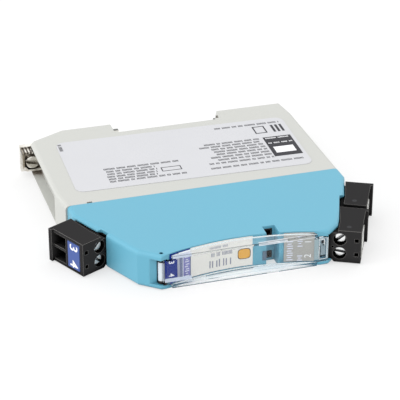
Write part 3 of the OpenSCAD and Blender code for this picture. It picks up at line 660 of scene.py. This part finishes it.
def printFront(look):
    lift = look["lift"]
    frontPatch("hazardPale", look["palePatch"], "hazard_film", "paleInk", lift)
    frontPatch("hazardLavender", look["lavenderPatch"], "hazard_film", "lavenderInk", lift)
    # Dark patch beside the pocket: painted shade.
    frontPatch("pocketShadePatch", look["pocketShadePatch"], "front_plastic", "pocketShadeInk", lift)
    x0, x1, z0, z1 = look["amberPatch"]
    amber = (("nameAmberEdge", look["amberLine"], 1, "darkInk"), ("nameAmber", 0, 2, "amberInk"))
    for name, grow, layer, ink in amber:
        points, faces = roundedPatch(x0 - grow, x1 + grow, z0 - grow, z1 + grow)
        points = onFront(points[:, 0], points[:, 1], layer * lift)
        addPiece(name, points, faces, "housing", "name_film", inks[ink])
    tall = look["tallRow"]
    count = np.arange(40)
    x = tall["x"][0] + count * (tall["width"] + tall["gap"]) + count // tall["every"] * tall["wordGap"]
    x = x[x < tall["x"][1]]
    z0, z1 = tall["z"]
    tops = z1 - tall["uneven"] * (x * 7 % 1)
    points, faces = rectangles(np.stack([x, np.full_like(x, z0), x + tall["width"], tops], 1))
    addPiece("nameStrokes", onFront(points[:, 0], points[:, 1], lift), faces, "housing", "name_film", inks["greyInk"])
    dice = np.random.default_rng(11)
    for name, row in (("nameTicks", look["smallRow"]), ("nameThinTicks", look["thinRow"])):
        boxes = tickRow(row, {**sidePrint, "tickHeight": row[3]}, dice)
        points, faces = rectangles(boxes)
        addPiece(name, onFront(points[:, 0], points[:, 1], lift), faces, "housing", "name_film", inks["greyInk"])


# Rows that run up the label: each tick lies across the row.
def printTurnedRows(look):
    dice = np.random.default_rng(5)
    step, loose, height, shift, cut = look["turnedTick"]
    for name, rows, slot in (("safeTicks", look["turnedRows"], "safe_film"),
                             ("hazardTicks", [look["lavenderRow"]], "hazard_film")):
        boxes = []
        for x0, x1, z0, z1 in rows:
            z = np.arange(z0, z1, step)
            z = z + dice.uniform(0, loose, len(z))
            boxes += [(x0 + shift * (k % 2), low, x1 - cut * (k % 3 == 1), low + height) for k, low in enumerate(z)]
        points, faces = rectangles(boxes)
        addPiece(name, onFront(points[:, 0], points[:, 1], 2 * look["lift"]), faces, "housing", slot, inks["paleInk"])


printFront(frontPrint)
printTurnedRows(frontPrint)


# Plain terminal numbers

# Outline of a digit in the built-in face, thickened, filled flat and centred.
def digitMesh(text, size, weight):
    curve = bpy.data.curves.new("digit", "FONT")
    curve.body = text
    curve.size = size
    curve.offset = size * weight
    curve.align_x = "CENTER"
    curve.align_y = "CENTER"
    holder = bpy.data.objects.new("digitHolder", curve)
    bpy.context.collection.objects.link(holder)
    bpy.context.view_layer.update()
    mesh = bpy.data.meshes.new_from_object(holder)
    bpy.data.objects.remove(holder)
    points = np.empty(len(mesh.vertices) * 3)
    mesh.vertices.foreach_get("co", points)
    return mesh, points.reshape(-1, 3)


def setPoints(mesh, points):
    mesh.vertices.foreach_set("co", np.ascontiguousarray(points, dtype=float).ravel())
    mesh.update()


# Plan directions of a plug from its own joints: n pulls it out, u runs forward along the shoulder.
def plugFrame(name):
    n = np.array(jointOf["pull_" + name]["axis"], dtype=float)
    u = -np.array(jointOf["turn_%s_1" % name]["axis"], dtype=float)
    place = np.array(jointOf["turn_%s_1" % name]["pos_m"], dtype=float)
    return n, u, place


plugNumbers = {
    "size": 5.3,  # of the type, mm; a digit is about three quarters of it
    "weight": 0.012,  # thickening of the strokes, shares of the size
    "u": -3.25,  # middle of the label, forward of the screws' middle, mm
    "n": 7.12,  # face of the label, out from the screws' axis, mm
    "heights": (3.3, 9.2),  # middle of the lower and the upper digit, mm
    "digits": {"haz": ("4", "3"), "safe_a": ("6", "5"), "safe_b": ("2", "1")},
    "ink": {"haz": "whiteInk", "safe_a": "darkInk", "safe_b": "darkInk"},
}


# A digit's own up runs along u towards the screws, and its right follows from up and n.
def numberPlugs(look):
    for name, digits in look["digits"].items():
        n, u, place = plugFrame(name)
        right = np.cross(u, n)
        for k, digit in enumerate(digits):
            mesh, flat = digitMesh(digit, look["size"] * mm, look["weight"])
            centre = place + n * look["n"] * mm + u * look["u"] * mm
            centre[2] = look["heights"][k] * mm
            setPoints(mesh, centre + flat[:, :1] * right + flat[:, 1:2] * u)
            finishPiece("digit_%s_%d" % (name, k + 1), mesh, "plug_body_" + name, inks[look["ink"][name]])


# The grey label's digits read upwards: right is +z and up is -x.
def numberSafeLabel(look):
    for digit, x, z in look["safeDigits"]:
        mesh, flat = digitMesh(digit, look["safeDigitSize"], 0.0)
        setPoints(mesh, onFront(x - flat[:, 1], z + flat[:, 0], 2 * look["lift"]))
        finishPiece("safeDigit" + digit, mesh, "housing", inks["whiteInk"])


numberPlugs(plugNumbers)
numberSafeLabel(frontPrint)
print("numbers printed")

# Slotted screws

terminalScrew = {
    "headRadius": 1.95, "top": -0.1, "under": -1.3, "foot": -6.2,  # along the axis from the joint's point, mm
    "chamfer": 0.28, "slotWidth": 0.72, "slotDepth": 0.75,
    "shankRadius": 1.24, "threadDepth": 0.18, "threadPitch": 0.45,
    "turns": {"haz": (40, -41), "safe_a": (15, -60), "safe_b": (-8, 42)},  # turn of each slot, degrees
}

clampScrew = {
    "headRadius": 2.4, "chamfer": 0.35, "slotWidth": 1.15, "slotDepth": 1.2, "slotTurn": -14.0,
    "top": -2.35, "under": -0.35, "foot": 5.05,  # y of the head's face, its underside and the shank's end, mm
    "shankRadius": 1.74, "threadDepth": 0.25, "threadPitch": 0.7,
}


threadRows = 6  # rows of points for each pitch
footShare = 0.85  # radius of the shank's foot, share of the shank
headRim = 0.08  # chamfer under the head, mm


# Stack of closed rings, each a profile row of (radius, height), carried round the axis.
def turnedShell(profile, columns=40):
    radius, height = np.asarray(profile, dtype=float).T
    angle = np.linspace(0, 2 * np.pi, columns, endpoint=False)
    rings = np.stack([radius[:, None] * np.cos(angle), radius[:, None] * np.sin(angle),
                      np.repeat(height[:, None], columns, axis=1)], axis=-1)
    return rings.reshape(-1, 3), gridFaces(len(profile), columns, True)


# Half of a slotted head: a D outline from the slot's wall and an arc, shrunk towards its own middle row by row.
def headHalf(radius, slot, rows, side, columns=36):
    half = slot / 2
    start = np.arcsin(half / radius)
    arc = np.linspace(start, np.pi - start, columns)
    wall = np.linspace(-1, 1, 8)[1:-1] * radius * np.cos(start)
    outline = np.concatenate([np.stack([radius * np.cos(arc), radius * np.sin(arc)], 1),
                              np.stack([wall, np.full_like(wall, half)], 1)])
    middle = np.array([0.0, (half + radius) / 2])
    inset, height = np.asarray(rows, dtype=float).T
    share = 1 - inset / (radius - half) * 2
    loops = middle + (outline - middle) * np.maximum(share, 0)[:, None, None]
    points = np.concatenate([loops, np.broadcast_to(height[:, None, None], loops.shape[:2] + (1,))], axis=-1)
    points = points * np.array([side, side, 1.0])
    return points.reshape(-1, 3), gridFaces(len(rows), len(outline), True)


# Shank: its radius dips with a triangle wave of height over pitch plus the share of a turn.
def threadedShank(radius, depth, pitch, low, high, columns=28):
    rows = int(abs(high - low) / pitch * threadRows) + 2
    height, angle = np.meshgrid(np.linspace(low, high, rows), np.linspace(0, 2 * np.pi, columns, endpoint=False),
                                indexing="ij")
    phase = height / pitch + angle / (2 * np.pi)
    r = radius - depth * np.abs(2 * (phase - np.floor(phase)) - 1)
    r[0] *= 0.0
    r[-1] *= 0.0
    r[1] *= footShare
    points = np.stack([r * np.cos(angle), r * np.sin(angle), height], axis=-1)
    return points.reshape(-1, 3), gridFaces(rows, columns, True)


# Whole screw in its own frame: slot along the first axis, head looking along the third.
def slottedScrew(look):
    top, under, foot = 0.0, -abs(look["top"] - look["under"]), -abs(look["top"] - look["foot"])
    floor = top - look["slotDepth"]
    r, c = look["headRadius"], look["chamfer"]
    disc = turnedShell([(0, under), (r - headRim, under), (r, under + headRim), (r, floor), (0, floor)])
    shut = 9  # inset that draws an outline together into its middle
    rows = [(shut, floor - 0.02), (0, floor - 0.02), (0, top - c), (c * 0.3, top - c * 0.3), (c, top), (shut, top)]
    halves = [headHalf(r, look["slotWidth"], rows, side) for side in (1.0, -1.0)]
    shank = threadedShank(look["shankRadius"], look["threadDepth"], look["threadPitch"], foot, under + 0.02)
    return joinPatches([disc, *halves, shank])


# Own frame to the object's: the slot's direction, the one across it and the way the head looks.
def addScrew(name, look, origin, along, across, out, turn, body, slot, node, mat):
    t = math.radians(turn)
    first = along * math.cos(t) + across * math.sin(t)
    second = -along * math.sin(t) + across * math.cos(t)
    points, faces = slottedScrew(look)
    if np.dot(np.cross(first, second), out) < 0:
        faces = faces[:, ::-1]
    placed = origin + (points @ np.stack([first, second, out])) * mm
    screw = addPiece(name, placed, faces, body, slot, mat)
    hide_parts(node)


def addScrews():
    up = np.array([0, 0, 1.0])
    for name, turns in terminalScrew["turns"].items():
        n, u, place = plugFrame(name)
        for k, turn in enumerate(turns):
            joint = np.array(jointOf["turn_%s_%d" % (name, k + 1)]["pos_m"], dtype=float)
            origin = joint + u * terminalScrew["top"] * mm
            addScrew("slottedScrew_%s_%d" % (name, k + 1), terminalScrew, origin, n, up, u, turn,
                     "screw_body_%s_%d" % (name, k + 1), slotOf["screw_%s_%d" % (name, k + 1)],
                     "screw_%s_%d" % (name, k + 1), dullSteel if name == "haz" else finishes["screw_steel"])
    joint = np.array(jointOf["clamp_screw_turn"]["pos_m"], dtype=float)
    origin = np.array([joint[0], clampScrew["top"] * mm, joint[2]])
    addScrew("slottedScrew_clamp", clampScrew, origin, np.array([1.0, 0, 0]), up, np.array([0, -1.0, 0]),
             clampScrew["slotTurn"], "rail_clamp_screw", slotOf["clamp_screw"], "clamp_screw", clampSteel)


clampSteel = platedMetal("clampSteel", clampLook)
dullSteel = platedMetal("dullSteel", {**screwLook, "roughness": 0.62, "paintedShadeFrom": 0.40})
jawSteel = platedMetal("jawSteel", {**clampLook, "tip": (0.16, 0.165, 0.155), "tipAxis": 1, "tipFrom": 0.0042})
# Above 9.3 mm the bracket turns dark in a toothed band: painted shade of serrated teeth that are not modelled as
# shapes.
bracketSteel = platedMetal("bracketSteel", {**nickelLook, "tip": (0.10, 0.085, 0.07), "tipAxis": 2,
                                            "tipFrom": 0.0093, "teeth": 0.0011})
# The rail hook's dark tone is painted shade of the notch around its tab.
shadedHookSteel = platedMetal("shadedHookSteel", {
    "colour": (0.26, 0.26, 0.25), "dark": (0.12, 0.12, 0.11), "edgeLightColour": (0.40, 0.40, 0.38),
    "stain": (0.35, 0.6), "roughness": 0.4, "edgeRadius": 0.00015, "lineWidth": 0.00012})
frame["nodes"]["clamp_bar"].data.materials[0] = jawSteel
frame["nodes"]["clamp_bracket"].data.materials[0] = bracketSteel
frame["nodes"]["rail_hook"].data.materials[0] = shadedHookSteel
addScrews()
print("screws placed")


# Shallow round marks left by the mould's ejectors on the plugs' upper sides

ejectorMark = {"n": 2.6, "u": -1.6, "radius": 0.75, "top": 12.11, "dish": 0.02,  # from the screw axis, mm
               "plugs": ("safe_a", "safe_b")}


# Dished disc: height falls with the square of one less the share of the radius.
def addEjectorMarks(look):
    share, angle = np.meshgrid(np.linspace(1, 0, 6), np.linspace(0, 2 * np.pi, 32, endpoint=False), indexing="ij")
    r = share * look["radius"]
    for name in look["plugs"]:
        n, u, place = plugFrame(name)
        centre = place + n * look["n"] * mm + u * look["u"] * mm
        z = look["top"] - look["dish"] * (1 - share) ** 2
        points = np.stack([centre[0] + r * np.cos(angle) * mm, centre[1] + r * np.sin(angle) * mm, z * mm], axis=-1)
        addPiece("ejectorMark_" + name, points, gridFaces(6, 32, True), "plug_body_" + name, slotOf["plug_" + name],
                 ejectorGloss)


ejectorGloss = mouldedPlastic("ejectorGloss", {
    "colour": (0.014, 0.0145, 0.018), "edgeLightColour": (0.02, 0.02, 0.025), "edgeLightShare": 0.3, "edgeRadius": 0.0001,
    "roughness": 0.42, "grainSize": 0.0002, "grainDepth": 0.2, "gloss": 0.18})
addEjectorMarks(ejectorMark)


# Films inside the clear cover, and painted glare and shade seen through it

coverDetail = {
    "tag": (-26.1, -22.0, 3.1, 10.35),  # x from, x to, z from, z to, mm
    "tagFace": -88.87,  # y of films behind the cover's plate, mm
    "layer": 0.02,  # between two films, mm
    "tagDigits": (("4", 5.0), ("3", 9.6)),
    "tagSize": 2.5,
    "tagWeight": 0.015,
    "tagBands": [(-23.6, -17.3, 10.75, 11.95), (-26.1, -17.3, 2.5, 3.9)],  # painted rim glare: pale bands over and under the tag
    "bar": (-21.3, -20.3, 2.3, 11.0),  # narrow grey strip beside the tag
    # painted refraction tone at the cover's end
    "endStrip": (23.7, 25.3, 2.4, 10.0),
    "latch": (25.9, 27.6, 3.9, 9.2),  # clip tab seen through the cover's end
    # dark patch on the latch: painted shade of its hole
    "latchHole": (26.2, 27.4, 8.0, 9.1),
    # painted highlights framing the latch
    "latchFrame": [(25.4, 25.55, 2.4, 10.2), (27.9, 28.1, 2.4, 10.2), (25.6, 27.8, 2.4, 2.6), (25.6, 27.8, 10.0, 10.2)],
    "topBand": (4.9, 14.6, 10.87, 11.72),  # painted glare: a bright band behind the upper edge, and lines over and under it
    "topLines": [(4.9, 24.2, 10.72, 10.87), (4.9, 24.2, 11.72, 11.88), (24.2, 27.9, 10.25, 10.4)],
    "glowLow": (-24.0, 24.3, 0.78),  # lower ledge of painted glare: x from, x to, z
    "gapLow": ((-12.2, -11.2, 3.6, 4.6), (0.35, 1.8, 1.8, 0.35)),  # x and the lower ledge's gap there
    # upper ledge of painted glare: x from, x to, z
    "glowHigh": (-24.0, -17.4, 11.8),
    "gapHigh": ((0.0,), (0.35,)),
    "ledgeColumns": 120,
    "barrel": (-26.8, -87.6, 1.02, 2.95, 9.65),  # pale core of the hinge barrel, a painted reflection: x, y, radius, z from, z to
    "collars": [(1.2, 2.02, 2.95), (1.2, 9.65, 10.58)],  # dark rings at the barrel's ends, partly painted shade of the hinge gaps, partly the dark pin ends: radius, z from, z to
    "collarHole": 0.62,
}


# Flat ledge from the cover's plate back towards the curved front, with a gap that may vary along x.
def ledge(x0, x1, z, gaps, look):
    columns = look["ledgeColumns"]
    x = np.linspace(x0, x1, columns)
    back = onFront(x, np.full_like(x, z), np.interp(x, *gaps))
    front = np.stack([x, np.full_like(x, look["tagFace"]), np.full_like(x, z)], axis=1) * mm
    front[:, 1] = np.minimum(front[:, 1], back[:, 1] - look["layer"] * mm)
    return np.concatenate([front, back]), gridFaces(2, columns, False)


# Upright quads at one y from x0, x1, z0, z1 rows.
def upright(boxes, y):
    points, faces = rectangles([(x0, z0, x1, z1) for x0, x1, z0, z1 in boxes])
    return np.stack([points[:, 0], np.full(len(points), y), points[:, 1]], axis=1) * mm, faces


def addCoverDetail(look):
    y = look["tagFace"]

    def show(name, shape, slot, mat):
        addPiece(name, *shape, "cover", slot, mat)

    show("coverTag", upright([look["tag"]], y), "hazard_film", finishes["hazard_film"])
    middle = (look["tag"][0] + look["tag"][1]) / 2
    for text, z in look["tagDigits"]:
        mesh, flat = digitMesh(text, look["tagSize"] * mm, look["tagWeight"])
        centre = np.array([middle, y - look["layer"], z]) * mm
        setPoints(mesh, centre + flat[:, :1] * np.array([0, 0, -1.0]) + flat[:, 1:2] * np.array([1.0, 0, 0]))
        finishPiece("coverTagDigit" + text, mesh, "cover", inks["whiteInk"])
    # Pale sheets behind the plate are painted glare and refraction highlights of the clear plastic.
    show("coverTagGlareBands", upright(look["tagBands"], y - look["layer"]), "clear_plastic", tagRimGlare)
    show("coverBar", upright([look["bar"]], y), "hazard_film", inks["barInk"])
    show("coverEndGlare", upright([look["endStrip"]], y), "clear_plastic", endGlareTeal)
    show("coverTopGlareBand", upright([look["topBand"]], y), "clear_plastic", rimGlarePale)
    show("coverTopGlareLines", upright(look["topLines"], y), "clear_plastic", rimGlareBright)
    show("coverLatch", upright([look["latch"]], y), "clear_plastic", inks["tealInk"])
    # Dark patch on the latch: painted shade of its hole.
    show("coverLatchHoleShade", upright([look["latchHole"]], y - look["layer"]), "clear_plastic", inks["darkInk"])
    show("coverLatchGlare", upright(look["latchFrame"], y - look["layer"]), "clear_plastic", rimGlareBright)
    show("coverRimGlareLow", ledge(*look["glowLow"], look["gapLow"], look), "clear_plastic", rimGlareBright)
    show("coverRimGlareHigh", ledge(*look["glowHigh"], look["gapHigh"], look), "clear_plastic", rimGlarePale)
    # Pale core of the hinge barrel: painted reflection of the white surroundings.
    x, y, r, z0, z1 = look["barrel"]
    points, faces = turnedShell([(0, z0), (r, z0), (r, z1), (0, z1)])
    show("coverBarrelGlare", ((points + np.array([x, y, 0])) * mm, faces), "clear_plastic", barrelGlare)
    # Dark rings at the barrel's ends: partly painted shade of the hinge gaps, partly the dark pin ends.
    hole = look["collarHole"]
    for i, (r, z0, z1) in enumerate(look["collars"]):
        points, faces = turnedShell([(hole, z0), (r, z0), (r, z1), (hole, z1), (hole, z0)])
        placed = (points + np.array([x, y, 0])) * mm
        show("coverHingeDarkRing%d" % (i + 1), (placed, faces), "clear_plastic", finishes["black_plastic"])


# Pale, partly see-through sheets that paint glare and refraction highlights on the cover.
def glareFilm(name, colour, roughness=0.35, alpha=1.0):
    return labelFilm(name, {"colour": colour, "roughness": roughness, "grainSize": 0.0007, "alpha": alpha})


rimGlarePale = glareFilm("rimGlarePaleFilm", (0.86, 0.86, 0.90), alpha=0.55)
endGlareTeal = glareFilm("endGlareTeal", (0.54, 0.67, 0.70), alpha=0.55)
rimGlareBright = glareFilm("rimGlareBrightFilm", (0.93, 0.94, 0.95), 0.30)
tagRimGlare = glareFilm("tagRimGlare", (0.60, 0.66, 0.78), alpha=0.85)
# Pale core of the hinge barrel: painted reflection.
barrelGlare = glareFilm("barrelGlare", (0.62, 0.67, 0.72), 0.30)
addCoverDetail(coverDetail)
print("cover finished")
